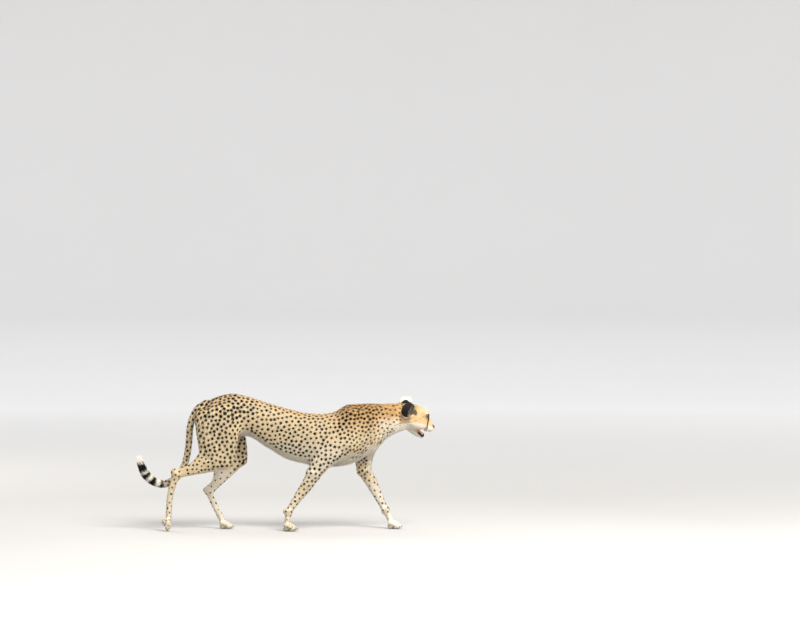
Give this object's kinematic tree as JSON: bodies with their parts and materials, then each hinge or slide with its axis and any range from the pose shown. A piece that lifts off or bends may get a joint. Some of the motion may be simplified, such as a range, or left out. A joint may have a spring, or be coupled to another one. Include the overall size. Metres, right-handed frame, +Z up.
{
  "type": "cheetah",
  "caption": "Still life-size cheetah, walking with its head level and its tail curled up behind; it stands on its own feet.",
  "frame": {"origin": "on the floor under the middle of the animal's box", "axes": "+X forward to the nose, +Y to the animal's left, +Z up"},
  "size_m": [1.6132, 0.2349, 0.7416],
  "materials": {
    "coat": "short spotted fur",
    "eye": "amber iris under a clear cornea"
  },
  "bodies": {
    "root": {"eye_right": "eye", "eye_left": "eye", "ear_right": "coat", "ear_left": "coat", "upper_arm_right": "coat", "forearm_right": "coat", "fore_foot_right": "coat", "upper_arm_left": "coat", "forearm_left": "coat", "fore_foot_left": "coat", "thigh_right": "coat", "shank_right": "coat", "hind_foot_right": "coat", "thigh_left": "coat", "shank_left": "coat", "hind_foot_left": "coat", "lower_jaw": "coat", "head": "coat", "neck": "coat", "trunk": "coat", "tail_upper": "coat", "tail_middle": "coat", "tail_tip": "coat"}
  },
  "joints": []
}
